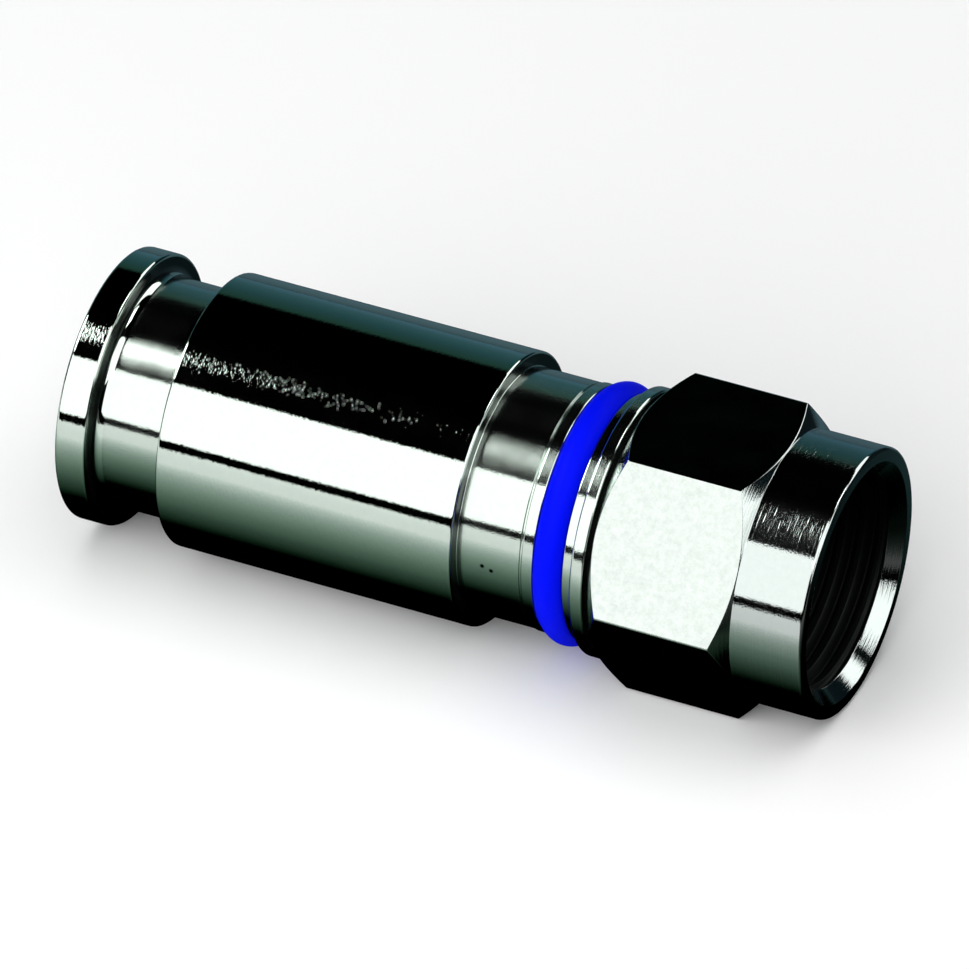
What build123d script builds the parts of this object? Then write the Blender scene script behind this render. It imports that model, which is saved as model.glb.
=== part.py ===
from build123d import *

import math
import os

# Coaxial compression connector, open as supplied, in millimetres.
# It lies along +X, from the cable entry at x = 0 to the mouth of the coupling nut.
# The axis is the line y = 0, z = 0, and one flat of the hexagon faces down.

# Compression sleeve
flange_diameter = 11.20
flange_length = 1.32
flange_edge_bevel = 0.12
neck_diameter = 9.50
neck_root_fillet = 0.45
sleeve_travel = 3.10
sleeve_engagement = 4.00
sleeve_bore_diameter = 8.20
cable_lead_in = 0.30
sleeve_nose_bevel = 0.25

# Outside of the body, from its rear edge to the nut
barrel_diameter = 11.24
barrel_length = 12.83
barrel_edge_bevel = 0.10
collar_diameter = 10.04
collar_length = 2.79
step_line_width = 0.10
step_line_depth = 0.06
rear_land_diameter = 10.14
rear_land_length = 0.49
land_edge_bevel = 0.05
front_step_diameter = 10.16
front_step_length = 0.49
front_land_diameter = 10.98
front_land_length = 0.56
front_land_bevel = 0.08

# Coloured ring in the body's groove
ring_groove_width = 1.26
ring_groove_diameter = 8.90
ring_diameter = 10.74
ring_side_gap = 0.03
ring_seat_gap = 0.02
ring_crown_radius = 0.72

# Inside of the body
squeeze_cone_start = 10.78
squeeze_cone_length = 1.60

# Post
post_bore_diameter = 4.90
post_tail_depth = 9.40
post_shank_diameter = 5.44
barb_diameter = 5.90
barb_length = 0.95
barb_flat = 0.15
barb_count = 2
post_seat_diameter = 6.90
post_flange_diameter = 8.60
post_flange_length = 0.80
post_flange_bevel = 0.12
post_tail_wall = 0.12

# Coupling nut
hex_across_flats = 11.11
hex_length = 6.15
hex_rear_face_diameter = 10.92
hex_rear_bevel_deg = 39.0
hex_front_bevel_deg = 33.0
skirt_diameter = 11.05
skirt_length = 3.00
skirt_edge_bevel = 0.10
countersink_diameter = 9.90
countersink_deg = 45.0
port_thread_minor_diameter = 8.80
seal_recess_diameter = 9.40
seal_recess_depth = 0.90
nut_lip_length = 0.80
thread_relief_length = 0.40

# Grip ring
grip_ring_bore_diameter = 8.60
grip_ring_lead_in = 0.12
grip_ring_length = 3.40
grip_ring_nose_length = 0.90
grip_ring_nose_drop = 0.20
grip_groove_count = 3
grip_groove_pitch = 0.60
grip_groove_depth = 0.14
grip_groove_width = 0.34

# Seal between nut and body
seal_section_diameter = 1.00

# Clearances between pieces
neck_clearance = 0.04
grip_ring_clearance = 0.06
grip_ring_seat_gap = 0.02
nut_spin_clearance = 0.06
nut_end_float = 0.05
nut_body_gap = 0.20
seal_seat_gap = 0.02

# Stations along the axis
barrel_rear_x = flange_length + sleeve_travel
sleeve_nose_x = barrel_rear_x + sleeve_engagement
collar_x = barrel_rear_x + barrel_length
rear_land_x = collar_x + collar_length
groove_x = rear_land_x + rear_land_length
front_step_x = groove_x + ring_groove_width
front_land_x = front_step_x + front_step_length
body_front_x = front_land_x + front_land_length
nut_rear_x = body_front_x + nut_body_gap
skirt_x = nut_rear_x + hex_length
mouth_x = skirt_x + skirt_length
nut_lip_x = nut_rear_x + seal_recess_depth
nut_lip_front_x = nut_lip_x + nut_lip_length
post_flange_x = nut_lip_front_x + nut_end_float
post_front_x = post_flange_x + post_flange_length
thread_start_x = post_front_x + thread_relief_length
squeeze_cone_x = barrel_rear_x + squeeze_cone_start
post_seat_x = squeeze_cone_x + squeeze_cone_length

# Radii that two pieces share
barrel_radius = barrel_diameter / 2
collar_radius = collar_diameter / 2
flange_radius = flange_diameter / 2
neck_radius = neck_diameter / 2
barrel_bore_radius = neck_radius + neck_clearance
post_bore_radius = post_bore_diameter / 2
post_seat_radius = post_seat_diameter / 2
thread_minor_radius = port_thread_minor_diameter / 2

# Bevels and the neck's root fillet keep within the steps and the wall that carry them
bevel_share = 0.3
fillet_share = 0.6
flange_step = flange_radius - neck_radius
barrel_step = barrel_radius - collar_radius
barrel_wall = barrel_radius - barrel_bore_radius
flange_bevel = min(flange_edge_bevel, bevel_share * flange_step)
barrel_bevel = min(barrel_edge_bevel, bevel_share * barrel_step)
neck_fillet = min(neck_root_fillet, fillet_share * flange_step, fillet_share * barrel_wall)

# The barrel's mouth clears the fillet when the sleeve is driven home
barrel_mouth_lead_in = neck_fillet


def turned(outline, rounds=(), bevels=()):
    """Revolve a closed outline of (x, radius) points about the axis.

    rounds and bevels are (point, size) pairs that name corners of the outline.
    """
    face = make_face(Polyline(*outline, close=True)).face()
    for corner, size in rounds:
        vertex = face.vertices().sort_by_distance(Vector(*corner))[0]
        face = face.fillet_2d(size, [vertex])
    for corner, size in bevels:
        vertex = face.vertices().sort_by_distance(Vector(*corner))[0]
        face = face.chamfer_2d(size, size, [vertex])
    return revolve(face, Axis.X, 360)


def compression_sleeve():
    """Flanged sleeve that slides into the barrel and squeezes the cable."""
    bore = sleeve_bore_diameter / 2
    outline = [
        (0, bore),
        (0, flange_radius),
        (flange_length, flange_radius),
        (flange_length, neck_radius),
        (sleeve_nose_x, neck_radius),
        (sleeve_nose_x, bore),
    ]
    rounds = [((flange_length, neck_radius), neck_fillet)]
    bevels = [
        ((0, bore), cable_lead_in),
        ((0, flange_radius), flange_bevel),
        ((flange_length, flange_radius), flange_bevel),
        ((sleeve_nose_x, neck_radius), sleeve_nose_bevel),
    ]
    return turned(outline, rounds, bevels)


def barrel_body():
    """Body turned in one piece: barrel, collar, ring groove, front land and stepped bore."""
    line_floor = collar_radius - step_line_depth
    rear_land = rear_land_diameter / 2
    groove = ring_groove_diameter / 2
    front_step = front_step_diameter / 2
    front_land = front_land_diameter / 2
    outline = [
        (barrel_rear_x, barrel_bore_radius),
        (barrel_rear_x, barrel_radius),
        (collar_x, barrel_radius),
        (collar_x, collar_radius),
        (rear_land_x - step_line_width, collar_radius),
        (rear_land_x - step_line_width, line_floor),
        (rear_land_x, line_floor),
        (rear_land_x, rear_land),
        (groove_x, rear_land),
        (groove_x, groove),
        (front_step_x, groove),
        (front_step_x, front_step),
        (front_land_x, front_step),
        (front_land_x, front_land),
        (body_front_x, front_land),
        (body_front_x, post_seat_radius),
        (post_seat_x, post_seat_radius),
        (squeeze_cone_x, barrel_bore_radius),
    ]
    bevels = [
        ((barrel_rear_x, barrel_radius), barrel_bevel),
        ((barrel_rear_x, barrel_bore_radius), barrel_mouth_lead_in),
        ((collar_x, barrel_radius), barrel_bevel),
        ((rear_land_x, rear_land), land_edge_bevel),
        ((groove_x, rear_land), land_edge_bevel),
        ((front_step_x, front_step), land_edge_bevel),
        ((front_land_x, front_land), front_land_bevel),
        ((body_front_x, front_land), front_land_bevel),
    ]
    return turned(outline, bevels=bevels)


def colour_ring():
    """Rubber ring with a crowned outside, seated in the body's groove."""
    inner = ring_groove_diameter / 2 + ring_seat_gap
    outer = ring_diameter / 2
    rear = groove_x + ring_side_gap
    front = front_step_x - ring_side_gap
    half_width = (front - rear) / 2
    crown_drop = ring_crown_radius - math.sqrt(ring_crown_radius**2 - half_width**2)
    shoulder = outer - crown_drop
    sides = Polyline((front, shoulder), (front, inner), (rear, inner), (rear, shoulder))
    crown = ThreePointArc((rear, shoulder), ((rear + front) / 2, outer), (front, shoulder))
    return revolve(make_face(sides + crown), Axis.X, 360)


def post():
    """Flanged tube, barbed at its tail, pressed into the body through the nut's lip."""
    shank = post_shank_diameter / 2
    barb = barb_diameter / 2
    tail = post_bore_radius + post_tail_wall
    flange = post_flange_diameter / 2
    outline = [(post_tail_depth, post_bore_radius)]
    for index in range(barb_count):
        start = post_tail_depth + index * barb_length
        foot = tail if index == 0 else shank
        outline.append((start, foot))
        outline.append((start + barb_length - barb_flat, barb))
        outline.append((start + barb_length, barb))
    outline += [
        (post_tail_depth + barb_count * barb_length, shank),
        (post_seat_x, shank),
        (post_seat_x, post_seat_radius),
        (post_flange_x, post_seat_radius),
        (post_flange_x, flange),
        (post_front_x, flange),
        (post_front_x, post_bore_radius),
    ]
    bevels = [((post_front_x, flange), post_flange_bevel)]
    return turned(outline, bevels=bevels)


def grip_ring():
    """Plastic ring ahead of the sleeve's nose, grooved inside and tapered outside."""
    rear = sleeve_nose_x + grip_ring_seat_gap
    front = rear + grip_ring_length
    outer = barrel_bore_radius - grip_ring_clearance
    inner = grip_ring_bore_diameter / 2
    outline = [
        (rear, inner),
        (rear, outer),
        (front - grip_ring_nose_length, outer),
        (front, outer - grip_ring_nose_drop),
        (front, inner),
    ]
    ring = turned(outline, bevels=[((rear, inner), grip_ring_lead_in)])
    first = (rear + front - (grip_groove_count - 1) * grip_groove_pitch) / 2
    for index in range(grip_groove_count):
        middle = first + index * grip_groove_pitch
        groove = [
            (middle - grip_groove_width / 2, inner - grip_groove_depth),
            (middle - grip_groove_width / 2, inner),
            (middle, inner + grip_groove_depth),
            (middle + grip_groove_width / 2, inner),
            (middle + grip_groove_width / 2, inner - grip_groove_depth),
        ]
        ring -= turned(groove)
    return ring


def nut_seal():
    """Round-section rubber ring about the post, between the body's front and the nut's lip."""
    section = seal_section_diameter / 2
    middle_radius = post_seat_radius + seal_seat_gap + section
    middle_x = body_front_x + seal_seat_gap + section
    face = Pos(middle_x, middle_radius) * Circle(section)
    return revolve(face, Axis.X, 360)


def hexagon_blank():
    """Hexagon bar with both ends turned to cones, so that each flat ends in curved arcs."""
    corner_radius = hex_across_flats / 2 / math.cos(math.pi / 6)
    rear_face = hex_rear_face_diameter / 2
    skirt = skirt_diameter / 2
    rear_rise = (corner_radius - rear_face) * math.tan(math.radians(hex_rear_bevel_deg))
    front_rise = (corner_radius - skirt) * math.tan(math.radians(hex_front_bevel_deg))
    section = RegularPolygon(hex_across_flats / 2, 6, major_radius=False)
    bar = extrude(Plane.YZ.offset(nut_rear_x) * section, hex_length)
    spindle = turned(
        [
            (nut_rear_x, 0),
            (nut_rear_x, rear_face),
            (nut_rear_x + rear_rise, corner_radius),
            (skirt_x - front_rise, corner_radius),
            (skirt_x, skirt),
            (skirt_x, 0),
        ]
    )
    return bar & spindle


def nut_hollow():
    """Everything that is bored out of the nut, from the seal recess to the countersunk mouth."""
    recess = seal_recess_diameter / 2
    lip = post_seat_radius + nut_spin_clearance
    countersink = countersink_diameter / 2
    countersink_depth = (countersink - thread_minor_radius) / math.tan(math.radians(countersink_deg))
    return turned(
        [
            (nut_rear_x, 0),
            (nut_rear_x, recess),
            (nut_lip_x, recess),
            (nut_lip_x, lip),
            (nut_lip_front_x, lip),
            (nut_lip_front_x, recess),
            (thread_start_x, recess),
            (thread_start_x, thread_minor_radius),
            (mouth_x - countersink_depth, thread_minor_radius),
            (mouth_x, countersink),
            (mouth_x, 0),
        ]
    )


def coupling_nut():
    """Hexagon nut with a round skirt, turned over the post's flange by its inner lip."""
    skirt = skirt_diameter / 2
    outline = [
        (skirt_x, 0),
        (skirt_x, skirt),
        (mouth_x, skirt),
        (mouth_x, 0),
    ]
    bevels = [((mouth_x, skirt), skirt_edge_bevel)]
    return hexagon_blank() + turned(outline, bevels=bevels) - nut_hollow()


PIECES = {
    "compression_sleeve": compression_sleeve,
    "barrel_body": barrel_body,
    "colour_ring": colour_ring,
    "post": post,
    "grip_ring": grip_ring,
    "nut_seal": nut_seal,
    "coupling_nut": coupling_nut,
}

os.makedirs("parts", exist_ok=True)
for name, build in PIECES.items():
    piece = build()
    piece.label = name
    export_step(piece, f"parts/{name}.step")
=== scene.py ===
"""Coaxial compression connector, open as supplied, lying on a pale studio floor.

The axis is the line y = 0, z = 0, from the cable entry at x = 0 to the mouth of the coupling nut.
Angles round the axis start at -Y, the near side, and rise towards +Z, the top.
"""

import logging
import math
from dataclasses import dataclass, replace
from enum import Enum

import bpy
import numpy as np
from bpy.types import ID, Node, NodeSocket, NodeTree, Object
from mathutils import Matrix, Vector


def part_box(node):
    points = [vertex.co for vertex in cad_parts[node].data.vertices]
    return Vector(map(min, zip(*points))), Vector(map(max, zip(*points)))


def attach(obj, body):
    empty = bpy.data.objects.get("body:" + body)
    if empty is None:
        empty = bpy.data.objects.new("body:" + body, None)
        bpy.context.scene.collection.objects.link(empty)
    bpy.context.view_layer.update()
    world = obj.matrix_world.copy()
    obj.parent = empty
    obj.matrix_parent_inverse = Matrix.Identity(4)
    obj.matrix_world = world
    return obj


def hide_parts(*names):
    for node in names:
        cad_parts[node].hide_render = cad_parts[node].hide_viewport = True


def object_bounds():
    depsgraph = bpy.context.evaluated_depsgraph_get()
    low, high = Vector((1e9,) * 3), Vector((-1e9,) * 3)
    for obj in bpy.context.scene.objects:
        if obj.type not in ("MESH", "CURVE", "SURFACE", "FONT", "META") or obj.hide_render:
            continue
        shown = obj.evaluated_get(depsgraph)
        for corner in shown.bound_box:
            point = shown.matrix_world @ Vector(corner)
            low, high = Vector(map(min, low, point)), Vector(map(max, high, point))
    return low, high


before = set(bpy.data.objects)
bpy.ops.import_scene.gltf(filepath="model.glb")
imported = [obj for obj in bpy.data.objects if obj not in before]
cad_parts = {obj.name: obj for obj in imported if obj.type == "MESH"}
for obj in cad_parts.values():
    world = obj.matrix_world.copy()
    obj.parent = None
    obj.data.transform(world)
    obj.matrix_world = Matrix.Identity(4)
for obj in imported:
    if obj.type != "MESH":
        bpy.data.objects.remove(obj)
LOADED_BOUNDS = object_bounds()

MM = 0.001
LOG = logging.getLogger("connector")

# Share of a full turn that sets a brushed finish's spread along the axis
QUARTER_TURN = 0.25

# Part of a face's normal along X: at most this on a flat, and at least that on a shoulder
FLAT_LEAN = 0.1
SHOULDER_LEAN = 0.7

# Points round the axis, along a round, over the ring's crown and round the seal's section
TURNED_COLUMNS = 256
ARC_POINTS = 5
CROWN_POINTS = 33
SEAL_POINTS = 32

# Distance of a support loop from its round, and the most that each may take of a side
SUPPORT_LOOP = 0.02 * MM
LONGEST_TANGENT = 0.45
LONGEST_SUPPORT = 0.04

# Least length and least tangent to divide by
SMALLEST_LENGTH = 1e-12
SMALLEST_TANGENT = 1e-6

# Sides of the nut
SIDES = 6

# Width of the plate's mottling, in grains
TONE_GRAINS = 4.0


class Slot(Enum):
    """Material slots of the record."""

    NICKEL = "nickel_plate"
    BLUE_RUBBER = "blue_rubber"
    BLACK_RUBBER = "black_rubber"
    WHITE_PLASTIC = "white_plastic"


class Body(Enum):
    """Bodies that the pieces ride on."""

    CONNECTOR = "connector_body"
    NUT = "nut"
    SLEEVE = "sleeve"


@dataclass(frozen=True)
class NodeBox:
    """Extent of a solid at rest: its two ends along the axis and its outer radius."""

    rear: float
    front: float
    radius: float

    @classmethod
    def of(cls, node: str) -> "NodeBox":
        """Measure a solid's box: its ends along X, and half of its height along Z."""
        low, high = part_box(node)
        return cls(low[0], high[0], (high[2] - low[2]) / 2)


def unit(vectors: np.ndarray) -> np.ndarray:
    """Divide each vector by its length."""
    return vectors / np.maximum(np.linalg.norm(vectors, axis=-1, keepdims=True), SMALLEST_LENGTH)


def rounded_corners(corners: np.ndarray, rounds: np.ndarray) -> np.ndarray:
    """Round every corner of a closed outline.

    At a corner P, the unit directions a and b to its neighbours make the angle 2h. A round of
    radius R touches both sides at R / tan(h) from P, which is kept within a share of either side.
    Its centre lies along a + b at that tangent length over cos(h), and its points are the slerp
    between the two touching radii. A support loop is added on each side, just past the round.

    Args:
        corners: Points (x, radius), as an array of corner, column, 2.
        rounds: Radius of each corner's round.

    Returns:
        Points as an array of corner, point at that corner, column, 2.
    """
    to_last = np.roll(corners, 1, axis=0) - corners
    to_next = np.roll(corners, -1, axis=0) - corners
    last_length = np.linalg.norm(to_last, axis=-1)
    next_length = np.linalg.norm(to_next, axis=-1)
    a, b = unit(to_last), unit(to_next)
    half = np.arccos(np.clip((a * b).sum(axis=-1), -1, 1)) / 2
    wanted = rounds[:, None] / np.maximum(np.tan(half), SMALLEST_TANGENT)
    room = LONGEST_TANGENT * np.minimum(last_length, next_length)
    tangent = np.minimum(wanted, room)[..., None]
    radius = tangent * np.tan(half)[..., None]
    centre = corners + unit(a + b) * tangent / np.cos(half)[..., None]
    first, second = corners + a * tangent, corners + b * tangent
    sweep = (math.pi - 2 * half)[..., None]
    steps = np.linspace(0, 1, ARC_POINTS)[:, None, None, None]
    weight_first = np.sin((1 - steps) * sweep) / np.sin(sweep)
    weight_second = np.sin(steps * sweep) / np.sin(sweep)
    arc = centre + weight_first * (first - centre) + weight_second * (second - centre)
    arc = np.where(radius > 0, arc, corners)
    before = first + a * np.minimum(SUPPORT_LOOP, LONGEST_SUPPORT * last_length)[..., None]
    after = second + b * np.minimum(SUPPORT_LOOP, LONGEST_SUPPORT * next_length)[..., None]
    return np.concatenate([before[:, None], arc.transpose(1, 0, 2, 3), after[:, None]], axis=1)


def flat_outline(rounded: np.ndarray) -> np.ndarray:
    """Join the points of all corners into one closed outline."""
    return rounded.reshape(-1, *rounded.shape[2:])


def around_axis(outline: np.ndarray, angles: np.ndarray) -> np.ndarray:
    """Carry an outline round the axis.

    A point (x, r) at the angle t goes to (x, -r cos t, r sin t).

    Args:
        outline: Points (x, radius), as an array of row, column, 2, with one column or one per angle.
        angles: Angle of each column.

    Returns:
        Places as an array of row, column, 3.
    """
    x = np.broadcast_to(outline[..., 0], (len(outline), len(angles)))
    radius = np.broadcast_to(outline[..., 1], x.shape)
    return np.stack([x, -radius * np.cos(angles), radius * np.sin(angles)], axis=-1)


def linked(name: str, data: ID) -> Object:
    """Make an object of its data and link it to the scene.

    Args:
        name: Name of the object.
        data: Its mesh, lamp or camera.

    Returns:
        The new object, at the origin.
    """
    thing = bpy.data.objects.new(name, data)
    bpy.context.scene.collection.objects.link(thing)
    return thing


def closed_grid_mesh(name: str, grid: np.ndarray) -> Object:
    """Make a smooth closed mesh of a grid that wraps both ways.

    Each cell joins a row to the next and a column to the next, so that the side to the left of an
    outline, seen with x to the right and the radius upwards, faces out.

    Args:
        name: Name of the object.
        grid: Places as an array of row, column, 3.

    Returns:
        The new object, linked to the scene at the origin.
    """
    rows, columns = grid.shape[:2]
    row, column = np.meshgrid(np.arange(rows), np.arange(columns), indexing="ij")
    next_row, next_column = (row + 1) % rows, (column + 1) % columns
    corners = ((row, column), (next_row, column), (next_row, next_column), (row, next_column))
    cells = np.stack([at * columns + turn for at, turn in corners], axis=-1).reshape(-1, 4)
    mesh = bpy.data.meshes.new(name)
    mesh.vertices.add(rows * columns)
    mesh.vertices.foreach_set("co", grid.astype(np.float32).ravel())
    mesh.loops.add(cells.size)
    mesh.loops.foreach_set("vertex_index", cells.astype(np.int32).ravel())
    mesh.polygons.add(len(cells))
    mesh.polygons.foreach_set("loop_start", np.arange(0, cells.size, 4, dtype=np.int32))
    mesh.polygons.foreach_set("use_smooth", np.ones(len(cells), dtype=bool))
    mesh.update(calc_edges=True)
    mesh.validate()
    return linked(name, mesh)


def turned_mesh(name: str, outline: np.ndarray) -> Object:
    """Turn a closed outline, points (x, radius) as an array of row, 1, 2, about the axis."""
    angles = np.linspace(0, math.tau, TURNED_COLUMNS, endpoint=False)
    return closed_grid_mesh(name, around_axis(outline, angles))


def turned(name: str, corners: tuple | list) -> Object:
    """Turn a closed outline with rounded corners: each one's x, radius and round."""
    values = np.array(corners, dtype=float)
    return turned_mesh(name, flat_outline(rounded_corners(values[:, None, :2], values[:, 2])))


class ShaderTree:
    """Adds nodes to one shader tree. Each input takes a socket or a value."""

    def __init__(self, tree: NodeTree) -> None:
        """Hold the tree, emptied."""
        self.tree = tree
        self.tree.nodes.clear()

    def put(self, node: Node, label: str | int, value: object) -> None:
        """Link a socket to a node's input, or set the input to a value.

        Args:
            node: The node.
            label: Name or number of its input.
            value: Socket or value.
        """
        if isinstance(value, NodeSocket):
            self.tree.links.new(value, node.inputs[label])
        else:
            node.inputs[label].default_value = value

    def add(self, kind: str, inputs: dict | None = None, **settings: object) -> Node:
        """Add a node.

        Args:
            kind: Type of the node.
            inputs: Sockets or values by input name or number.
            settings: Properties of the node.

        Returns:
            The new node.
        """
        node = self.tree.nodes.new(kind)
        for label, value in settings.items():
            setattr(node, label, value)
        for label, value in (inputs or {}).items():
            self.put(node, label, value)
        return node

    def math(self, operation: str, *values: object) -> NodeSocket:
        """Work out a number with a Math node."""
        return self.add("ShaderNodeMath", dict(enumerate(values)), operation=operation).outputs[0]

    def vector_math(self, operation: str, *values: object) -> Node:
        """Add a Vector Math node."""
        return self.add("ShaderNodeVectorMath", dict(enumerate(values)), operation=operation)

    def scaled(self, vector: object, share: object) -> NodeSocket:
        """Scale a vector or a colour by one number."""
        inputs = {0: vector, "Scale": share}
        return self.add("ShaderNodeVectorMath", inputs, operation="SCALE").outputs[0]

    def combined(self, x: object, y: object, z: object) -> NodeSocket:
        """Make a vector of three numbers."""
        return self.add("ShaderNodeCombineXYZ", {0: x, 1: y, 2: z}).outputs[0]

    def ranged(
        self, value: object, start: float, end: float, low: float = 0.0, high: float = 1.0
    ) -> NodeSocket:
        """Map a value between start and end onto low to high, and go no further."""
        inputs = {"Value": value, "From Min": start, "From Max": end, "To Min": low, "To Max": high}
        return self.add("ShaderNodeMapRange", inputs, clamp=True).outputs[0]

    def noise(
        self, vector: object, detail: float, roughness: float = 0.5, scale: float = 1.0
    ) -> NodeSocket:
        """Make 3-D noise, about 0.5 on average."""
        inputs = {"Vector": vector, "Scale": scale, "Detail": detail, "Roughness": roughness}
        return self.add("ShaderNodeTexNoise", inputs, noise_dimensions="3D").outputs[0]

    def mixed(self, share: object, first: tuple, second: tuple) -> NodeSocket:
        """Mix two linear colours.

        Args:
            share: Share of the second colour, from 0 to 1.
            first: Colour at 0.
            second: Colour at 1.

        Returns:
            The mixed colour.
        """
        node = self.add("ShaderNodeMix", {"Factor": share}, data_type="RGBA")
        colours = [socket for socket in node.inputs if socket.type == "RGBA"]
        colours[0].default_value = (*first, 1.0)
        colours[1].default_value = (*second, 1.0)
        return next(socket for socket in node.outputs if socket.type == "RGBA")


class ShaderGroup(ShaderTree):
    """One shader node group with named inputs and outputs."""

    def __init__(self, name: str, inputs: dict[str, float | None], outputs: tuple[str, ...]) -> None:
        """Start a group.

        Args:
            name: Name of the group.
            inputs: Input names with their default numbers, or None for a vector.
            outputs: Names of the outputs, each a number.
        """
        super().__init__(bpy.data.node_groups.new(name, "ShaderNodeTree"))
        for label, default in inputs.items():
            kind = "NodeSocketVector" if default is None else "NodeSocketFloat"
            socket = self.tree.interface.new_socket(label, in_out="INPUT", socket_type=kind)
            if default is not None:
                socket.default_value = default
        for label in outputs:
            self.tree.interface.new_socket(label, in_out="OUTPUT", socket_type="NodeSocketFloat")
        self.source = self.add("NodeGroupInput")
        self.sink = self.add("NodeGroupOutput")

    def input(self, label: str) -> NodeSocket:
        """Give the group's own input of that name."""
        return self.source.outputs[label]

    def output(self, label: str, socket: NodeSocket) -> None:
        """Send a socket to the group's output of that name."""
        self.put(self.sink, label, socket)

    def stretched(self, along: object, across: object) -> NodeSocket:
        """Scale the group's Vector by one number along X and another across it."""
        scale = self.combined(along, across, across)
        return self.vector_math("MULTIPLY", self.input("Vector"), scale).outputs[0]


def turning_marks_group() -> NodeTree:
    """Make the group for marks of turning.

    Height is noise that changes fast along the axis and slowly round it, so that it reads as fine
    rings with short breaks. Width is the size of a mark along the axis and Run its length.

    Returns:
        The group's tree.
    """
    group = ShaderGroup("Turning marks", {"Vector": None, "Width": 5e-5, "Run": 2e-3}, ("Height",))
    along, across = (group.math("DIVIDE", 1.0, group.input(label)) for label in ("Width", "Run"))
    group.output("Height", group.noise(group.stretched(along, across), detail=2.0, roughness=0.6))
    return group.tree


def plate_grain_group() -> NodeTree:
    """Make the group for the grain of the plated metal.

    Height is round grain of the given Size, raised to a sharp crest, so that single facets catch
    the light. Tone is a slower mottling between 0 and 1.

    Returns:
        The group's tree.
    """
    group = ShaderGroup("Plate grain", {"Vector": None, "Size": 1e-4, "Crest": 2.0}, ("Height", "Tone"))
    scale = group.math("DIVIDE", 1.0, group.input("Size"))
    grain = group.noise(group.stretched(scale, scale), detail=1.0)
    group.output("Height", group.math("POWER", grain, group.input("Crest")))
    broad = group.math("DIVIDE", scale, TONE_GRAINS)
    group.output("Tone", group.noise(group.stretched(broad, broad), detail=4.0, roughness=0.75))
    return group.tree


def handling_wear_group() -> NodeTree:
    """Make the group for haze left by handling.

    Haze is 0 on clean metal and rises to 1 in soft blots, each about the size of Blot.

    Returns:
        The group's tree.
    """
    group = ShaderGroup("Handling wear", {"Vector": None, "Blot": 1.5e-3}, ("Haze",))
    scale = group.math("DIVIDE", 1.0, group.input("Blot"))
    blots = group.noise(group.stretched(scale, scale), detail=6.0, roughness=0.65)
    group.output("Haze", group.ranged(blots, start=0.45, end=0.75))
    return group.tree


def pit_group() -> NodeTree:
    """Make the group for one small pit.

    Depth is 1 within the Radius about the Centre and falls to 0 at twice that distance.

    Returns:
        The group's tree.
    """
    group = ShaderGroup("Pit", {"Vector": None, "Centre": None, "Radius": 5e-5}, ("Depth",))
    distance = group.vector_math("DISTANCE", group.input("Vector"), group.input("Centre"))
    share = group.math("DIVIDE", distance.outputs["Value"], group.input("Radius"))
    group.output("Depth", group.ranged(share, start=2.0, end=1.0))
    return group.tree


class Effects:
    """Node groups that the finishes share, each built once."""

    def __init__(self) -> None:
        """Build the groups."""
        self.pit = pit_group()
        self.turning = turning_marks_group()
        self.grain = plate_grain_group()
        self.wear = handling_wear_group()


class Material(ShaderTree):
    """One material with its shader and object coordinates."""

    def __init__(self, name: str, shader: str = "ShaderNodeBsdfPrincipled") -> None:
        """Start a material.

        Args:
            name: Name of the material.
            shader: Type of its shader node.
        """
        self.material = bpy.data.materials.new(name)
        self.material.use_nodes = True
        super().__init__(self.material.node_tree)
        self.shader = self.add(shader)
        self.add("ShaderNodeOutputMaterial", {"Surface": self.shader.outputs[0]})
        self.coordinates = self.add("ShaderNodeTexCoord").outputs["Object"]

    def feed(self, label: str, value: object) -> None:
        """Set or link an input of the shader."""
        self.put(self.shader, label, value)

    def effect(self, group: NodeTree, **inputs: object) -> Node:
        """Place a shared effect, fed with object coordinates and with its own numbers."""
        return self.add("ShaderNodeGroup", {"Vector": self.coordinates, **inputs}, node_tree=group)

    def darkened(self, colour: object, share: object) -> NodeSocket:
        """Scale a colour by 1 less a share."""
        return self.scaled(colour, self.math("SUBTRACT", 1.0, share))

    def bump(self, height: object, depth: float, under: object = None) -> NodeSocket:
        """Add a bump of real depth, in metres, over an earlier bump.

        Args:
            height: Height from 0 to 1.
            depth: What a height of 1 stands for.
            under: Normal of the earlier bump.

        Returns:
            The bumped normal.
        """
        node = self.add("ShaderNodeBump", {"Height": height, "Distance": depth, "Strength": 1.0})
        if under is not None:
            self.put(node, "Normal", under)
        return node.outputs[0]


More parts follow.
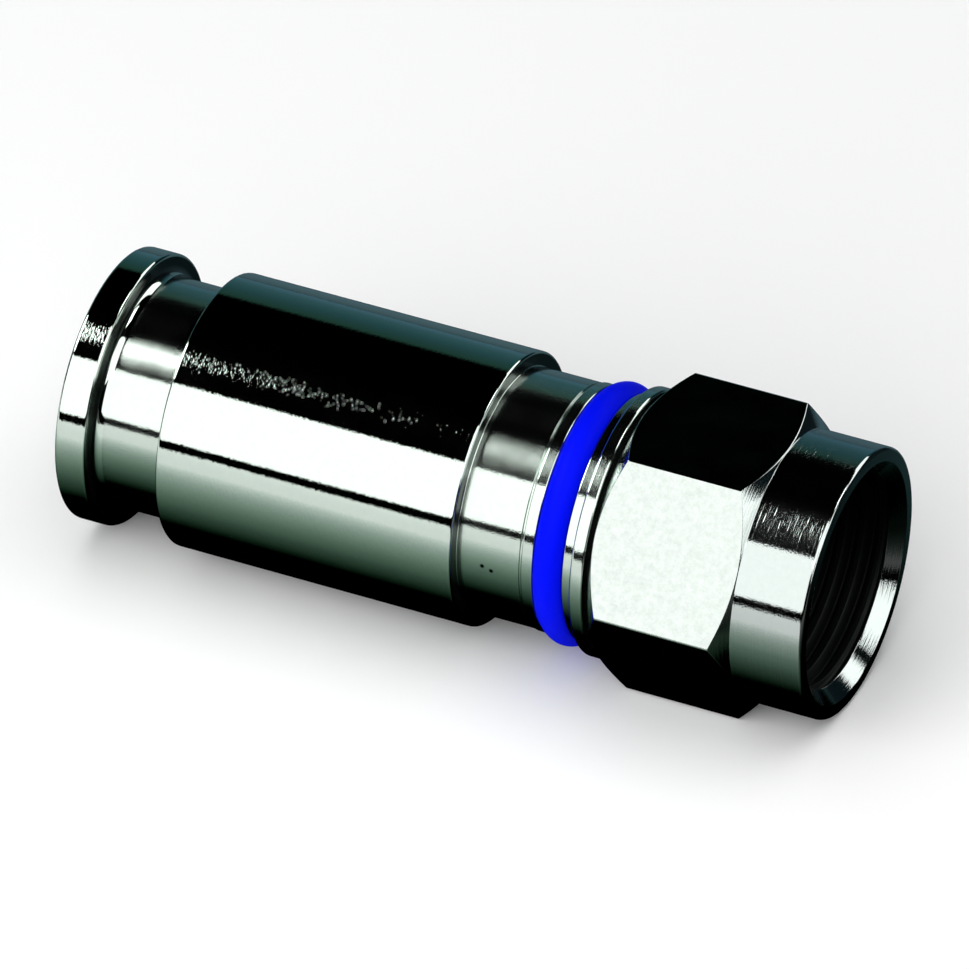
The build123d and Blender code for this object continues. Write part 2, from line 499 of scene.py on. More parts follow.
@dataclass(frozen=True)
class NickelFinish:
    """Bright nickel plate over turned or drawn brass, its marks and grain in real depths."""

    name: str
    light: tuple[float, float, float] = (0.58, 0.66, 0.60)
    dull: tuple[float, float, float] = (0.50, 0.58, 0.52)
    smooth: float = 0.06
    hazed: float = 0.10
    mark_width: float = 0.045 * MM
    mark_run: float = 3.0 * MM
    mark_depth: float = 1.5e-6
    grain_size: float = 0.07 * MM
    grain_depth: float = 1.5e-6
    grain_crest: float = 2.0
    brushed: float = 0.0
    pits: tuple[tuple[float, float, float], ...] = ()
    pit_radius: float = 0.06 * MM

    def build(self, effects: Effects) -> bpy.types.Material:
        """Make the material.

        Args:
            effects: Shared node groups.

        Returns:
            The finished material.
        """
        material = Material(self.name)
        marks = material.effect(effects.turning, Width=self.mark_width, Run=self.mark_run)
        grain = material.effect(effects.grain, Size=self.grain_size, Crest=self.grain_crest)
        wear = material.effect(effects.wear)
        material.feed("Metallic", 1.0)
        colour = material.mixed(grain.outputs["Tone"], self.light, self.dull)
        for place in self.pits:
            pit = material.effect(effects.pit, Centre=place, Radius=self.pit_radius)
            colour = material.darkened(colour, pit.outputs["Depth"])
        material.feed("Base Color", colour)
        roughness = material.ranged(wear.outputs["Haze"], 0.0, 1.0, self.smooth, self.hazed)
        material.feed("Roughness", roughness)
        rings = material.bump(marks.outputs["Height"], self.mark_depth)
        material.feed("Normal", material.bump(grain.outputs["Height"], self.grain_depth, rings))
        if self.brushed:
            round_axis = material.add("ShaderNodeTangent", direction_type="RADIAL", axis="X")
            material.feed("Anisotropic", self.brushed)
            material.feed("Anisotropic Rotation", QUARTER_TURN)
            material.feed("Tangent", round_axis.outputs[0])
        return material.material


@dataclass(frozen=True)
class SoftFinish:
    """Moulded rubber or plastic with a faint skin texture, smoother where clean."""

    name: str
    colour: tuple[float, float, float]
    shade: tuple[float, float, float]
    roughness: float = 0.45
    specular: float = 0.5
    smoother: float = 0.05
    rougher: float = 0.08
    grain_size: float = 0.12 * MM
    grain_depth: float = 1.5e-6
    grain_crest: float = 1.0

    def build(self, effects: Effects) -> bpy.types.Material:
        """Make the material.

        Args:
            effects: Shared node groups.

        Returns:
            The finished material.
        """
        material = Material(self.name)
        grain = material.effect(effects.grain, Size=self.grain_size, Crest=self.grain_crest)
        wear = material.effect(effects.wear)
        material.feed("Base Color", material.mixed(grain.outputs["Tone"], self.colour, self.shade))
        low, high = self.roughness - self.smoother, self.roughness + self.rougher
        material.feed("Roughness", material.ranged(wear.outputs["Haze"], 0.0, 1.0, low, high))
        material.feed("Specular IOR Level", self.specular)
        material.feed("Normal", material.bump(grain.outputs["Height"], self.grain_depth))
        return material.material


class Finishes:
    """The connector's materials, each built once."""

    def __init__(self) -> None:
        """Build the materials."""
        effects = Effects()
        self.drawn_nickel = NickelFinish(
            "Nickel on drawn tube",
            smooth=0.03,
            hazed=0.05,
            mark_width=0.06 * MM,
            mark_run=0.26 * MM,
            mark_depth=2.9e-6,
            grain_depth=0.5e-6,
        ).build(effects)
        on_turned_bar = NickelFinish(
            "Nickel on turned bar", smooth=0.11, hazed=0.14, mark_depth=1e-6, brushed=0.95
        )
        pits = ((18.378 * MM, -5.020 * MM, -0.035 * MM), (18.765 * MM, -5.017 * MM, -0.160 * MM))
        self.turned_nickel = on_turned_bar.build(effects)
        self.pitted_nickel = replace(on_turned_bar, name="Nickel on the collar", pits=pits).build(effects)
        self.bright_nickel = NickelFinish(
            "Nickel on rounds", smooth=0.05, hazed=0.08, mark_depth=0.2e-6, grain_depth=0.4e-6
        ).build(effects)
        # Painted shade: near-black nickel for faces towards the nut, standing in for the dark surroundings
        # that they mirror
        self.shoulder_painted_shade = NickelFinish(
            "Nickel painted in shade on shoulders", (0.035, 0.042, 0.038), (0.02, 0.025, 0.022), 0.20, 0.28
        ).build(effects)
        self.brushed_nickel = NickelFinish(
            "Nickel on brushed bar",
            (0.50, 0.54, 0.52),
            (0.43, 0.48, 0.46),
            0.08,
            0.10,
            mark_width=0.055 * MM,
            mark_run=1.6 * MM,
            mark_depth=5.8e-6,
            brushed=0.8,
        ).build(effects)
        self.milled_nickel = NickelFinish(
            "Nickel on milled flats", (0.62, 0.66, 0.63), (0.35, 0.40, 0.37), mark_depth=0.1e-6
        ).build(effects)
        # Painted shade: near-black nickel for the thread, which lies in shadow inside the nut
        self.thread_painted_shade = NickelFinish(
            "Nickel painted in shade in the thread", (0.012, 0.014, 0.013), (0.008, 0.010, 0.009), 0.45, 0.55
        ).build(effects)
        self.tin = NickelFinish("Tin on the post", smooth=0.22, hazed=0.34).build(effects)
        self.blue = SoftFinish(
            "Blue rubber", (0.0, 0.004, 0.74), (0.0, 0.003, 0.68), 0.5, 0.02
        ).build(effects)
        self.black = SoftFinish(
            "Black rubber", (0.012, 0.012, 0.012), (0.02, 0.02, 0.02), 0.6
        ).build(effects)
        self.white = SoftFinish(
            "White plastic", (0.80, 0.80, 0.77), (0.74, 0.74, 0.71), 0.4
        ).build(effects)


def face_vectors(piece: Object, label: str) -> np.ndarray:
    """Read one vector of every face.

    Args:
        piece: New piece.
        label: "center" for the middles, or "normal".

    Returns:
        The vectors as an array of face, 3.
    """
    vectors = np.empty(len(piece.data.polygons) * 3, dtype=np.float32)
    piece.data.polygons.foreach_get(label, vectors)
    return vectors.reshape(-1, 3)


def face_middles(piece: Object) -> tuple[np.ndarray, np.ndarray]:
    """Give the place along the axis and the radius of each face's middle."""
    middles = face_vectors(piece, "center")
    return middles[:, 0], np.hypot(middles[:, 1], middles[:, 2])


def face_lean(piece: Object) -> np.ndarray:
    """Give the size of each normal's part along X, 0 on a face that runs along the axis."""
    return np.abs(face_vectors(piece, "normal")[:, 0])


def dress_faces(piece: Object, material: bpy.types.Material, faces: np.ndarray) -> None:
    """Give some faces of a dressed piece a finish of their own.

    Args:
        piece: Dressed piece.
        material: Their finish.
        faces: True for each face that gets it.
    """
    index = len(piece.data.materials)
    piece.data.materials.append(material)
    numbers = np.empty(len(piece.data.polygons), dtype=np.int32)
    piece.data.polygons.foreach_get("material_index", numbers)
    numbers[faces] = index
    piece.data.polygons.foreach_set("material_index", numbers)
    piece.data.update()


def dress(
    piece: Object, material: bpy.types.Material, body: Body, node: str
) -> None:
    """Give a piece its material, and set it on its body in place of its solid.

    Args:
        piece: New piece.
        material: Its finish.
        body: Body that it rides on.
        node: Solid that it stands for.
    """
    piece.data.materials.append(material)
    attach(piece, body.value)
    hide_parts(node)
    LOG.info("%s: %d vertices, rides on %s", piece.name, len(piece.data.vertices), body.value)


@dataclass
class CompressionEnd:
    """Flanged sleeve and the plastic grip ring ahead of its nose."""

    finishes: Finishes
    flange_length: float = 1.32 * MM
    face_gap: float = 0.01 * MM
    flange_edge: float = 0.12 * MM
    neck_radius: float = 4.75 * MM
    root_fillet: float = 0.45 * MM
    bore_radius: float = 4.10 * MM
    lead_in: float = 0.30 * MM
    nose_bevel: float = 0.25 * MM
    sharp: float = 0.03 * MM
    moulded_edge: float = 0.12 * MM
    grip_bore: float = 4.30 * MM
    grip_nose_length: float = 0.90 * MM
    grip_nose_drop: float = 0.20 * MM
    grip_grooves: int = 3
    groove_pitch: float = 0.60 * MM
    groove_half_width: float = 0.17 * MM
    groove_depth: float = 0.14 * MM

    def build(self) -> None:
        """Build both pieces."""
        self.sleeve()
        self.grip_ring()

    def sleeve(self) -> None:
        """Turn the sleeve: flange, filleted neck, nose and bore.

        The flange's face is a hair short of the solid's, so that at the end of the stroke it stops
        at the barrel without sharing its plane.
        """
        box = NodeBox.of("compression_sleeve")
        edge, bore, sharp = self.flange_edge, self.bore_radius, self.sharp
        face = box.rear + self.flange_length - self.face_gap
        outline = (
            (box.rear, bore + self.lead_in, sharp),
            (box.rear, box.radius, edge),
            (face, box.radius, edge),
            (face, self.neck_radius, self.root_fillet),
            (box.front - self.nose_bevel, self.neck_radius, sharp),
            (box.front, self.neck_radius - self.nose_bevel, sharp),
            (box.front, bore, sharp),
            (box.rear + self.lead_in, bore, sharp),
        )
        piece = turned("Compression_sleeve", outline)
        dress(piece, self.finishes.turned_nickel, Body.SLEEVE, "compression_sleeve")
        along, radius = face_middles(piece)
        lean = face_lean(piece)
        ahead = (along > face - edge) & (radius > self.neck_radius)
        dress_faces(piece, self.finishes.bright_nickel, ahead & (lean > FLAT_LEAN))
        # Painted shade on the flange's front face
        dress_faces(piece, self.finishes.shoulder_painted_shade, ahead & (lean > SHOULDER_LEAN))
        dress_faces(piece, self.finishes.drawn_nickel, radius > box.radius - edge)

    def grip_ring(self) -> None:
        """Turn the grip ring, with v-shaped grooves in its bore."""
        box = NodeBox.of("grip_ring")
        bore, sharp = self.grip_bore, self.sharp
        middle = (box.rear + box.front) / 2
        corners = [
            (box.rear, bore, sharp),
            (box.rear, box.radius, sharp),
            (box.front - self.grip_nose_length, box.radius, self.moulded_edge),
            (box.front, box.radius - self.grip_nose_drop, self.moulded_edge),
            (box.front, bore, sharp),
        ]
        for index in range(self.grip_grooves):
            at = middle + ((self.grip_grooves - 1) / 2 - index) * self.groove_pitch
            corners += [
                (at + self.groove_half_width, bore, sharp),
                (at, bore + self.groove_depth, sharp),
                (at - self.groove_half_width, bore, sharp),
            ]
        piece = turned("Grip_ring", corners)
        dress(piece, self.finishes.white, Body.SLEEVE, "grip_ring")


@dataclass
class BodyAssembly:
    """Barrel body with its coloured ring, the post pressed into it, and the nut's seal."""

    finishes: Finishes
    edge: float = 0.10 * MM
    land_edge: float = 0.06 * MM
    flange_edge: float = 0.12 * MM
    sharp: float = 0.03 * MM
    barrel_length: float = 12.83 * MM
    collar_radius: float = 5.02 * MM
    collar_length: float = 2.79 * MM
    line_width: float = 0.10 * MM
    line_depth: float = 0.06 * MM
    rear_land_radius: float = 5.07 * MM
    rear_land_length: float = 0.49 * MM
    groove_radius: float = 4.45 * MM
    groove_width: float = 1.26 * MM
    front_step_radius: float = 5.08 * MM
    front_land_radius: float = 5.49 * MM
    front_land_length: float = 0.56 * MM
    seat_radius: float = 3.45 * MM
    bore_radius: float = 4.79 * MM
    mouth_lead_in: float = 0.45 * MM
    cone_start: float = 10.78 * MM
    cone_length: float = 1.60 * MM
    ring_crown: float = 0.72 * MM
    ring_inner: float = 4.47 * MM
    post_bore: float = 2.45 * MM
    post_tail_wall: float = 0.12 * MM
    post_shank: float = 2.72 * MM
    barb_radius: float = 2.95 * MM
    barb_length: float = 0.95 * MM
    barb_flat: float = 0.15 * MM
    barbs: int = 2
    post_flange_length: float = 0.80 * MM

    def build(self) -> None:
        """Build the four pieces."""
        self.barrel()
        self.colour_ring()
        self.post()
        self.seal()

    def barrel(self) -> None:
        """Turn the body: barrel, collar, step line, ring groove, front land and stepped bore."""
        box = NodeBox.of("barrel_body")
        sharp, edge = self.sharp, self.edge
        collar = box.rear + self.barrel_length
        land = collar + self.collar_length
        groove = land + self.rear_land_length
        step = groove + self.groove_width
        front_land = box.front - self.front_land_length
        cone = box.rear + self.cone_start
        seat = cone + self.cone_length
        line_floor = self.collar_radius - self.line_depth
        outline = (
            (box.rear, self.bore_radius + self.mouth_lead_in, sharp),
            (box.rear, box.radius, edge),
            (collar, box.radius, edge),
            (collar, self.collar_radius, sharp),
            (land - self.line_width, self.collar_radius, sharp),
            (land - self.line_width, line_floor, sharp),
            (land, line_floor, sharp),
            (land, self.rear_land_radius, self.land_edge),
            (groove, self.rear_land_radius, self.land_edge),
            (groove, self.groove_radius, sharp),
            (step, self.groove_radius, sharp),
            (step, self.front_step_radius, self.land_edge),
            (front_land, self.front_step_radius, sharp),
            (front_land, self.front_land_radius, edge),
            (box.front, self.front_land_radius, edge),
            (box.front, self.seat_radius, sharp),
            (seat, self.seat_radius, sharp),
            (cone, self.bore_radius, sharp),
            (box.rear + self.mouth_lead_in, self.bore_radius, sharp),
        )
        piece = turned("Barrel_body", outline)
        dress(piece, self.finishes.turned_nickel, Body.CONNECTOR, "barrel_body")
        along, radius = face_middles(piece)
        # Painted shade on the barrel's front shoulder
        on_shoulder = (np.abs(along - collar) < edge) & (radius > self.collar_radius)
        leaning = face_lean(piece) > SHOULDER_LEAN
        dress_faces(piece, self.finishes.shoulder_painted_shade, on_shoulder & leaning)
        on_barrel = (radius > box.radius - edge) & (along < collar)
        dress_faces(piece, self.finishes.drawn_nickel, on_barrel)
        on_collar = (along > collar) & (along < land - self.line_width) & (radius > line_floor)
        dress_faces(piece, self.finishes.pitted_nickel, on_collar)

    def colour_ring(self) -> None:
        """Turn the rubber ring, whose outside is a crown of one radius."""
        box = NodeBox.of("colour_ring")
        middle = (box.rear + box.front) / 2
        reach = math.asin((box.front - box.rear) / 2 / self.ring_crown)
        sweep = np.linspace(-reach, reach, CROWN_POINTS)
        x = middle + self.ring_crown * np.sin(sweep)
        crown = np.stack([x, box.radius - self.ring_crown * (1 - np.cos(sweep))], axis=-1)
        inside = np.array([(box.front, self.ring_inner), (box.rear, self.ring_inner)])
        piece = turned_mesh("Colour_ring", np.concatenate([crown, inside])[:, None])
        dress(piece, self.finishes.blue, Body.CONNECTOR, "colour_ring")

    def post(self) -> None:
        """Turn the post: barbed tail, shank, seat, flange and bore."""
        box = NodeBox.of("post")
        sharp, bore = self.sharp, self.post_bore
        body = NodeBox.of("barrel_body")
        seat = body.rear + self.cone_start + self.cone_length
        flange = box.front - self.post_flange_length
        corners = [(box.rear, bore, sharp), (box.rear, bore + self.post_tail_wall, sharp)]
        for index in range(self.barbs):
            end = box.rear + (index + 1) * self.barb_length
            corners.append((end - self.barb_flat, self.barb_radius, sharp))
            corners.append((end, self.barb_radius, sharp))
            corners.append((end, self.post_shank, sharp))
        corners += [
            (seat, self.post_shank, sharp),
            (seat, self.seat_radius, sharp),
            (flange, self.seat_radius, sharp),
            (flange, box.radius, sharp),
            (box.front, box.radius, self.flange_edge),
            (box.front, bore, self.land_edge),
        ]
        piece = turned("Post", corners)
        dress(piece, self.finishes.tin, Body.CONNECTOR, "post")

    def seal(self) -> None:
        """Turn the seal, a circle carried round the axis."""
        box = NodeBox.of("nut_seal")
        section = (box.front - box.rear) / 2
        sweep = np.linspace(math.pi, -math.pi, SEAL_POINTS, endpoint=False)
        x = (box.rear + box.front) / 2 + section * np.cos(sweep)
        radius = box.radius - section + section * np.sin(sweep)
        piece = turned_mesh("Nut_seal", np.stack([x, radius], axis=-1)[:, None])
        dress(piece, self.finishes.black, Body.CONNECTOR, "nut_seal")


@dataclass
class CouplingNut:
    """Hexagon nut with a round skirt, an inner lip and a right-hand port thread."""

    finishes: Finishes
    corner_round: float = 0.12 * MM
    bevel_round: float = 0.05 * MM
    sharp: float = 0.03 * MM
    hex_length: float = 6.15 * MM
    rear_face_radius: float = 5.46 * MM
    rear_bevel_deg: float = 39.0
    front_bevel_deg: float = 33.0
    skirt_radius: float = 5.525 * MM
    skirt_edge: float = 0.14 * MM
    countersink_radius: float = 4.95 * MM
    countersink_deg: float = 45.0
    recess_radius: float = 4.70 * MM
    recess_depth: float = 0.90 * MM
    lip_length: float = 0.80 * MM
    lip_radius: float = 3.51 * MM
    relief_start: float = 2.95 * MM
    thread_minor: float = 4.40 * MM
    thread_depth: float = 0.36 * MM
    thread_pitch: float = 0.794 * MM
    thread_rows: int = 220
    thread_run_out: float = 0.30 * MM
    crest_share: float = 0.25
    root_share: float = 0.125
    flat_columns: int = 25
    corner_columns: int = 7

    def build(self) -> None:
        """Build the nut."""
        box = NodeBox.of("coupling_nut")
        angles, hexagon = self.hexagon(box.radius)
        corners, rounds, bore_corner = self.outline(box, hexagon)
        rounded = rounded_corners(corners, rounds)
        before = flat_outline(rounded[: bore_corner + 1])
        after = flat_outline(rounded[bore_corner + 1 :])
        thread = self.thread(before[-1, 0, 0], after[0, 0, 0], angles)
        grid = around_axis(np.concatenate([before, thread, after]), angles)
        piece = closed_grid_mesh("Coupling_nut", grid)
        dress(piece, self.finishes.brushed_nickel, Body.NUT, "coupling_nut")
        along, radius = face_middles(piece)
        root = self.thread_minor + self.thread_depth + self.sharp
        in_bore = (radius < root) & (along < box.front - self.countersink_depth)
        # Painted shade: the bore and thread get near-black nickel
        dress_faces(piece, self.finishes.thread_painted_shade, in_bore)
        on_hexagon = (along < box.rear + self.hex_length) & (radius > self.rear_face_radius)
        dress_faces(piece, self.finishes.milled_nickel, on_hexagon & (face_lean(piece) < FLAT_LEAN))

    @property
    def countersink_depth(self) -> float:
        """Depth of the countersink along the axis."""
        return (self.countersink_radius - self.thread_minor) / math.tan(math.radians(self.countersink_deg))

    def hexagon(self, apothem: float) -> tuple[np.ndarray, np.ndarray]:
        """Work out a hexagon with rounded corners in polar form.

        A flat's columns lie evenly along it, with one more close to each end. A corner's round of
        radius R has its centre R / cos(30) inside the corner, and its columns lie evenly along it.

        Args:
            apothem: Distance from the axis to a flat.

        Returns:
            The angle and the radius of each column.
        """
        half_side = math.pi / SIDES
        reach = (apothem - self.corner_round) * math.tan(half_side)
        even = np.linspace(-reach, reach, self.flat_columns)
        along = np.sort(np.concatenate([even, [SUPPORT_LOOP - reach, reach - SUPPORT_LOOP]]))
        flat_angle, flat_radius = np.arctan2(along, apothem), np.hypot(along, apothem)
        centre = (apothem - self.corner_round) / math.cos(half_side)
        turn = np.linspace(-half_side, half_side, self.corner_columns + 2)[1:-1]
        corner_x = centre + self.corner_round * np.cos(turn)
        corner_y = self.corner_round * np.sin(turn)
        angle = np.concatenate([flat_angle, half_side + np.arctan2(corner_y, corner_x)])
        radius = np.concatenate([flat_radius, np.hypot(corner_x, corner_y)])
        starts = half_side + np.arange(SIDES) * math.tau / SIDES
        return (starts[:, None] + angle).ravel(), np.tile(radius, SIDES)

    def outline(self, box: NodeBox, hexagon: np.ndarray) -> tuple[np.ndarray, np.ndarray, int]:
        """Lay out the nut's section in each column.

        The end bevels are cones, so a bevel meets a flat where its radius is the hexagon's radius
        in that column. That gives the arcs at the ends of the flats.

        Args:
            box: The nut's extent.
            hexagon: Radius of the hexagon in each column.

        Returns:
            Corners as an array of corner, column, 2, their rounds, and the number of the corner
            at the thread's outer end.
        """
        skirt = box.rear + self.hex_length
        rear_rise = (hexagon - self.rear_face_radius) * math.tan(math.radians(self.rear_bevel_deg))
        front_rise = (hexagon - self.skirt_radius) * math.tan(math.radians(self.front_bevel_deg))
        lip = box.rear + self.recess_depth
        relief = box.rear + self.relief_start
        sharp = self.sharp
        outside = (
            (box.rear, self.recess_radius, sharp),
            (box.rear, self.rear_face_radius, sharp),
            (box.rear + rear_rise, hexagon, self.bevel_round),
            (skirt - front_rise, hexagon, self.bevel_round),
            (skirt, self.skirt_radius, sharp),
            (box.front, self.skirt_radius, self.skirt_edge),
            (box.front, self.countersink_radius, sharp),
            (box.front - self.countersink_depth, self.thread_minor, sharp),
        )
        inside = (
            (relief, self.thread_minor, sharp),
            (relief, self.recess_radius, sharp),
            (lip + self.lip_length, self.recess_radius, sharp),
            (lip + self.lip_length, self.lip_radius, sharp),
            (lip, self.lip_radius, sharp),
            (lip, self.recess_radius, sharp),
        )
        section = outside + inside
        blank = np.ones_like(hexagon)
        corners = np.array([(x * blank, radius * blank) for x, radius, _ in section])
        rounds = np.array([size for _, _, size in section])
        return corners.transpose(0, 2, 1), rounds, len(outside) - 1

    def thread(self, outer: float, inner: float, angles: np.ndarray) -> np.ndarray:
        """Cut the thread as a wave of the bore's radius.

        The phase is x / pitch + angle / turn, the same along a right-hand helix. The depth is 0
        over the crest's share of a turn and full over the root's share, with straight flanks
        between, and it fades to 0 at both ends.

        Args:
            outer: Place of the thread's end near the mouth.
            inner: Place of its other end.
            angles: Angle of each column.

        Returns:
            Points (x, radius) as an array of row, column, 2.
        """
        x = np.linspace(outer, inner, self.thread_rows + 2)[1:-1, None]
        phase = x / self.thread_pitch + angles / math.tau
        from_root = np.abs(2 * (phase - np.floor(phase)) - 1)
        flank = (1 - self.crest_share - from_root) / (1 - self.crest_share - self.root_share)
        fade = np.clip(np.minimum(outer - x, x - inner) / self.thread_run_out, 0, 1)
        radius = self.thread_minor + self.thread_depth * np.clip(flank, 0, 1) * fade
        return np.stack([np.broadcast_to(x, radius.shape), radius], axis=-1)


def level_square(name: str, reach: float, level: float) -> Object:
    """Make a level square that faces up.

    Args:
        name: Name of the object.
        reach: Half of its side.
        level: Its height.

    Returns:
        The new object, linked to the scene.
    """
    x, y = reach * np.array([(-1, -1), (1, -1), (1, 1), (-1, 1)]).T
    mesh = bpy.data.meshes.new(name)
    mesh.from_pydata(np.stack([x, y, np.full(4, level)], axis=-1).tolist(), [], [(0, 1, 2, 3)])
    return linked(name, mesh)


@dataclass
class Floor:
    """Pale studio floor that the connector lies on."""

    reach: float = 900 * MM
    colour: tuple[float, float, float] = (0.90, 0.90, 0.90)
    shade: tuple[float, float, float] = (0.88, 0.88, 0.88)
    clouds_per_metre: float = 40.0

    def build(self) -> None:
        """Build the floor as one square, level with the lowest face of the connector."""
        level = LOADED_BOUNDS[0][2]
        floor = level_square("Floor", self.reach, level)
        material = Material("Pale floor")
        clouds = material.noise(material.coordinates, detail=2.0, scale=self.clouds_per_metre)
        material.feed("Base Color", material.mixed(clouds, self.colour, self.shade))
        material.feed("Roughness", 1.0)
        material.feed("Specular IOR Level", 0.0)
        floor.data.materials.append(material.material)
        LOG.info("Floor at z = %.3f mm", level / MM)


@dataclass
class ReflectedShadowCard:
    """Painted shadow that only reflections see: a dark sheet laid on the floor round the connector.

    The metal mirrors dark surroundings close by and behind, while the background stays white. The
    card lets through a share of the floor that grows with the distance from the connector's axis,
    and less of it behind and past the nut than in front, which paints the floor's shadow near the
    connector into the reflections. Behind, what it lets through is tinted dim blue-grey, a painted
    reflection. Past the horizon line in front it lets nothing through, which paints the thin dark
    line under each white band.
    """

    lift: float = 0.02 * MM
    reach: float = 900 * MM
    contact: float = 6 * MM
    fade: float = 22 * MM
    falloff: tuple[float, float, float] = (1.3, 1.05, 1.2)
    horizon: float = 115 * MM
    horizon_blur: float = 12 * MM
    axis_start: float = 0.0
    axis_end: float = 32.2 * MM
    turn_over: float = 5 * MM
    # Dim blue-grey painted into the reflection of the floor behind the connector
    rear_painted_reflection: tuple[float, float, float] = (0.08, 0.14, 0.17)
    front_tint: tuple[float, float, float] = (1.0, 1.0, 1.0)
    nut_side_start: float = 34 * MM
    nut_side_end: float = 40 * MM
    nut_side_share: float = 0.10

    def build(self) -> None:
        """Build the card as one sheet just above the floor."""
        card = level_square("Reflected shadow card", self.reach, LOADED_BOUNDS[0][2] + self.lift)
        # Only reflections see the sheet, so it paints shadow into them and nowhere else
        card.visible_camera = card.visible_diffuse = False
        card.visible_transmission = card.visible_shadow = False
        card.data.materials.append(self.filter())

    def filter(self) -> bpy.types.Material:
        """Make the card's see-through material, which paints a shadow into the floor's reflections.

        The distance from the axis is the length of (how far x is past either end, y). The share
        let through rises from 0 at the contact line to 1 over the fade, as a power of the way that
        differs between red, green and blue, and in front it falls to 0 again at the horizon line.

        Returns:
            The finished material.
        """
        card = Material("Reflected shadow card", "ShaderNodeBsdfTransparent")
        x, y, z = card.add("ShaderNodeSeparateXYZ", {"Vector": card.coordinates}).outputs
        span = {"Value": x, "Min": self.axis_start, "Max": self.axis_end}
        nearest = card.combined(card.add("ShaderNodeClamp", span).outputs[0], 0.0, z)
        distance = card.vector_math("DISTANCE", card.coordinates, nearest).outputs["Value"]
        share = card.ranged(distance, self.contact, self.contact + self.fade)
        rising = card.combined(*(card.math("POWER", share, power) for power in self.falloff))
        # Painted dark line: past the horizon line in front, reflections show none of the floor
        short_of_horizon = card.ranged(distance, self.horizon + self.horizon_blur, self.horizon)
        behind = card.ranged(y, -self.turn_over, self.turn_over)
        lit = card.math("MAXIMUM", short_of_horizon, behind)
        past_nut = card.ranged(x, self.nut_side_start, self.nut_side_end, 1.0, self.nut_side_share)
        # Painted reflection: behind the connector the reflected floor is tinted dim blue-grey
        tint = card.mixed(behind, self.front_tint, self.rear_painted_reflection)
        tinted = card.vector_math("MULTIPLY", tint, rising).outputs[0]
        card.feed("Color", card.scaled(tinted, card.math("MULTIPLY", lit, past_nut)))
        return card.material


class LampShape(Enum):
    """Outline of a soft light, as the lamp's shape is called."""

    RECTANGLE = "RECTANGLE"
    ELLIPSE = "ELLIPSE"

    def area(self, width: float, height: float) -> float:
        """Give the area of this outline, pi / 4 of the rectangle for an ellipse."""
        return width * height * (math.pi / 4 if self is LampShape.ELLIPSE else 1)


@dataclass
class StudioLight:
    """One soft light that looks at the connector.

    Its place is given by the angle round the connector's axis, from the near side upwards, and the
    angle along it, towards the nut.
    """

    name: str
    round_deg: float
    along_deg: float
    distance: float
    width: float
    height: float
    radiance: float
    lights_floor: bool = True
    seen_in_metal: bool = True
    shape: LampShape = LampShape.RECTANGLE

    def build(self, target: Vector) -> None:
        """Build the lamp. Its power is radiance times pi times its area.

        Args:
            target: Point that it looks at.
        """
        lamp = bpy.data.lights.new(self.name, "AREA")
        lamp.shape = self.shape.value
        lamp.size, lamp.size_y = self.width, self.height
        lamp.energy = self.radiance * math.pi * self.shape.area(self.width, self.height)
        holder = linked(self.name, lamp)
        turn, along = math.radians(self.round_deg), math.radians(self.along_deg)
        towards = Vector(
            (math.sin(along), -math.cos(along) * math.cos(turn), math.cos(along) * math.sin(turn))
        )
        across = Vector(
            (math.cos(along), math.sin(along) * math.cos(turn), -math.sin(along) * math.sin(turn))
        )
        holder.location = target + towards * self.distance
        holder.rotation_mode = "QUATERNION"
        axes = Matrix((across, towards.cross(across), towards))
        holder.rotation_quaternion = axes.transposed().to_quaternion()
        holder.visible_camera = False
        holder.visible_diffuse = self.lights_floor
        holder.visible_glossy = self.seen_in_metal


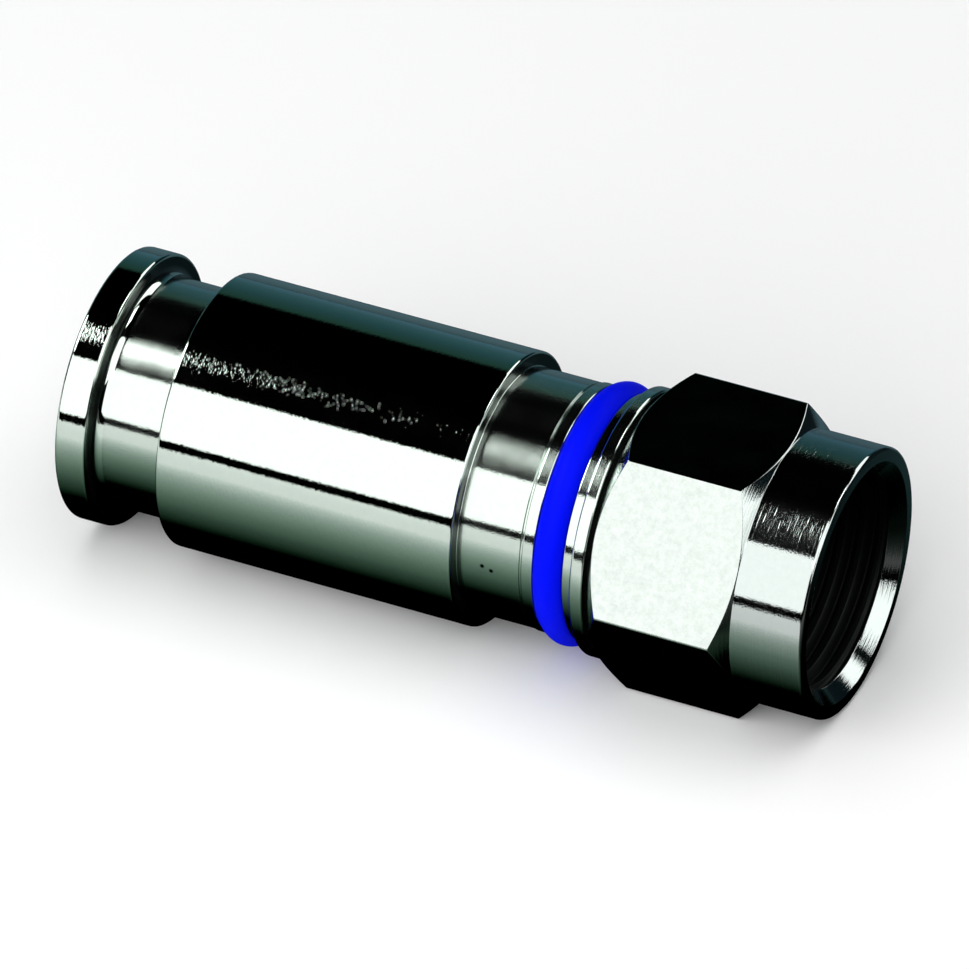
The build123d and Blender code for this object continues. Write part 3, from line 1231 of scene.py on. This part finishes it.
@dataclass
class Studio:
    """Floor, soft lights, dark surroundings and the camera."""

    target: tuple[float, float, float] = (16.5 * MM, 0.0, 0.0)
    azimuth_deg: float = 24.771
    elevation_deg: float = 36.217
    camera_distance: float = 534.64 * MM
    offset_right: float = 0.300 * MM
    offset_up: float = -0.003 * MM
    focal_px: float = 13553.8
    image_px: float = 969.0
    sensor_mm: float = 36.0
    nearest_seen: float = 10 * MM
    farthest_seen: float = 10.0
    surroundings: tuple[tuple[float, tuple[float, float, float]], ...] = (
        (0.0, (0.075, 0.16, 0.22)),
        (0.147, (0.045, 0.12, 0.145)),
        (0.368, (0.025, 0.08, 0.09)),
        (0.53, (0.02, 0.06, 0.045)),
        (0.56, (0.0, 0.0, 0.0)),
    )
    glow_front: float = 0.0
    glow_back: float = 0.5
    glow_right: float = 0.2
    glow_left: float = -0.2
    glow_rest: float = 0.08
    backdrop: tuple[float, float, float, float] = (0.90, 0.90, 0.90, 1.0)

    def build(self) -> None:
        """Build the whole studio."""
        Floor().build()
        ReflectedShadowCard().build()
        self.lights()
        self.world()
        self.camera()
        bpy.context.scene.view_settings.view_transform = "Standard"

    def lights(self) -> None:
        """Set the soft lights."""
        target = Vector(self.target)
        # Name, angle round the axis and along it, distance, width, height and radiance
        lights = (
            StudioLight("Front softbox", 27, -14, 0.30, 0.50, 0.241, 1.85),
            StudioLight("Front fill", 30, -10, 0.80, 1.20, 0.80, 1.2, seen_in_metal=False),
            StudioLight("Overhead softbox", 88, 5, 0.80, 1.20, 1.20, 1.75, seen_in_metal=False),
            StudioLight(
                "Top umbrella", 73, -39.4, 0.40, 0.20, 0.19, 11.0, lights_floor=False, shape=LampShape.ELLIPSE
            ),
            StudioLight("Right softbox", 62, 27, 0.40, 0.48, 0.29, 2.0, lights_floor=False),
            StudioLight("Side softbox", 101, 74.7, 0.30, 0.15, 0.183, 2.0, lights_floor=False),
            StudioLight("Back softbox", 147, 21, 0.30, 0.333, 0.128, 2.0, lights_floor=False),
            StudioLight("Rear strip", 112, 32, 0.60, 0.20, 0.20, 5.0, lights_floor=False),
        )
        for light in lights:
            light.build(target)

    def world(self) -> None:
        """Surround the floor with dim blue-grey that falls to black with height.

        Each stop gives the sine of the height above the horizon and the colour there. The glow
        lies behind the connector, on the side of the cable entry. It fades out to the front, and to
        a small rest on the nut's side. The camera sees a pale backdrop in its place.
        """
        world = bpy.data.worlds.new("Studio surroundings")
        world.use_nodes = True
        nodes = ShaderTree(world.node_tree)
        direction = nodes.add("ShaderNodeTexCoord").outputs["Generated"]
        x, y, z = nodes.add("ShaderNodeSeparateXYZ", {"Vector": direction}).outputs
        ramp = nodes.add("ShaderNodeValToRGB", {"Fac": z})
        stops = ramp.color_ramp.elements
        stops.remove(stops[1])
        for position, colour in self.surroundings:
            stop = stops[0] if position == 0 else stops.new(position)
            stop.color = (*colour, 1.0)
        behind = nodes.ranged(y, self.glow_front, self.glow_back)
        beside = nodes.ranged(x, self.glow_right, self.glow_left, self.glow_rest, 1.0)
        glow = nodes.math("MULTIPLY", behind, beside)
        around = nodes.add("ShaderNodeBackground", {"Color": ramp.outputs[0], "Strength": glow})
        backdrop = nodes.add("ShaderNodeBackground", {"Color": self.backdrop})
        seen = nodes.add("ShaderNodeLightPath").outputs["Is Camera Ray"]
        both = {0: seen, 1: around.outputs[0], 2: backdrop.outputs[0]}
        mixed = nodes.add("ShaderNodeMixShader", both)
        nodes.add("ShaderNodeOutputWorld", {"Surface": mixed.outputs[0]})
        bpy.context.scene.world = world

    def camera(self) -> None:
        """Place the camera at the photograph's viewing angle."""
        turn, lift = math.radians(self.azimuth_deg), math.radians(self.elevation_deg)
        back = Vector(
            (math.sin(turn) * math.cos(lift), -math.cos(turn) * math.cos(lift), math.sin(lift))
        )
        right = Vector((math.cos(turn), math.sin(turn), 0.0))
        up = back.cross(right)
        place = Vector(self.target) + back * self.camera_distance
        place -= right * self.offset_right + up * self.offset_up
        data = bpy.data.cameras.new("Camera")
        data.sensor_width = self.sensor_mm
        data.lens = self.focal_px / self.image_px * self.sensor_mm
        data.clip_start, data.clip_end = self.nearest_seen, self.farthest_seen
        data.dof.use_dof = False
        camera = linked("Camera", data)
        camera.rotation_mode = "QUATERNION"
        camera.rotation_quaternion = Matrix((right, up, back)).transposed().to_quaternion()
        camera.location = place
        bpy.context.scene.camera = camera


def main() -> None:
    """Build the connector and its studio."""
    logging.basicConfig(level=logging.INFO, format="%(name)s: %(message)s")
    finishes = Finishes()
    CompressionEnd(finishes).build()
    BodyAssembly(finishes).build()
    CouplingNut(finishes).build()
    Studio().build()
    bpy.context.view_layer.update()


if __name__ == "__main__":
    main()
